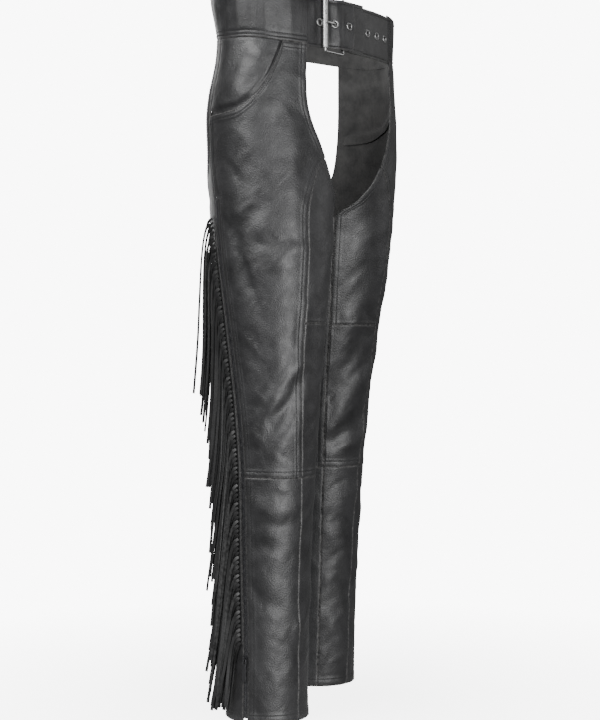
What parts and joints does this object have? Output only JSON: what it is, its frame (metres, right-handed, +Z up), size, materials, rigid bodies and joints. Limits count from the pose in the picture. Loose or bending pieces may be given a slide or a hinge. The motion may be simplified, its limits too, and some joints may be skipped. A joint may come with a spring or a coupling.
{
  "type": "leather chaps",
  "caption": "Black leather riding chaps with a wide buckled waistband, curved front pockets, side zips and long fringe down each leg.",
  "frame": {"origin": "middle of the waistband, where the wearer holds the chaps up", "axes": "+Z up along the legs, the wearer faces -Y, +X is the wearer's left"},
  "size_m": [0.3976, 0.2436, 1.0765],
  "materials": {
    "leather": "black cowhide, soft sheen, fine grain",
    "fringe_leather": "black cut leather thongs, matt edges",
    "zip": "black woven tape with dark metal teeth",
    "zip_metal": "dark nickel",
    "steel": "polished nickel plate"
  },
  "bodies": {
    "chaps": {"right_outer_front_upper": "leather", "right_pocket_facing": "leather", "right_outer_front_lower": "leather", "right_inner_front_upper": "leather", "right_inner_front_middle": "leather", "right_inner_front_lower": "leather", "right_back_upper": "leather", "right_back_lower": "leather", "right_zip_chain": "zip", "right_zip_slider": "zip_metal", "right_fringe": "fringe_leather", "right_waistband": "leather", "right_strap": "leather", "right_eyelet_1": "steel", "right_eyelet_2": "steel", "right_eyelet_3": "steel", "left_outer_front_upper": "leather", "left_pocket_facing": "leather", "left_outer_front_lower": "leather", "left_inner_front_upper": "leather", "left_inner_front_middle": "leather", "left_inner_front_lower": "leather", "left_back_upper": "leather", "left_back_lower": "leather", "left_zip_chain": "zip", "left_zip_slider": "zip_metal", "left_fringe": "fringe_leather", "left_waistband": "leather", "left_strap": "leather", "left_eyelet_1": "steel", "left_eyelet_2": "steel", "left_eyelet_3": "steel", "buckle_frame": "steel", "buckle_roller": "steel", "buckle_prong": "steel"},
    "right_pull": {"right_zip_pull": "zip_metal"},
    "left_pull": {"left_zip_pull": "zip_metal"}
  },
  "joints": [
    {"name": "right_pull_flip", "type": "hinge", "parent": "chaps", "child": "right_pull", "pos_m": [-0.18086, -0.03746, -0.936], "axis": [-0.1485, 0.9889, 0], "range_deg": [0, 170]},
    {"name": "left_pull_flip", "type": "hinge", "parent": "chaps", "child": "left_pull", "pos_m": [0.18086, 0.05952, -0.936], "axis": [-0.1485, -0.9889, 0], "range_deg": [0, 170]}
  ]
}
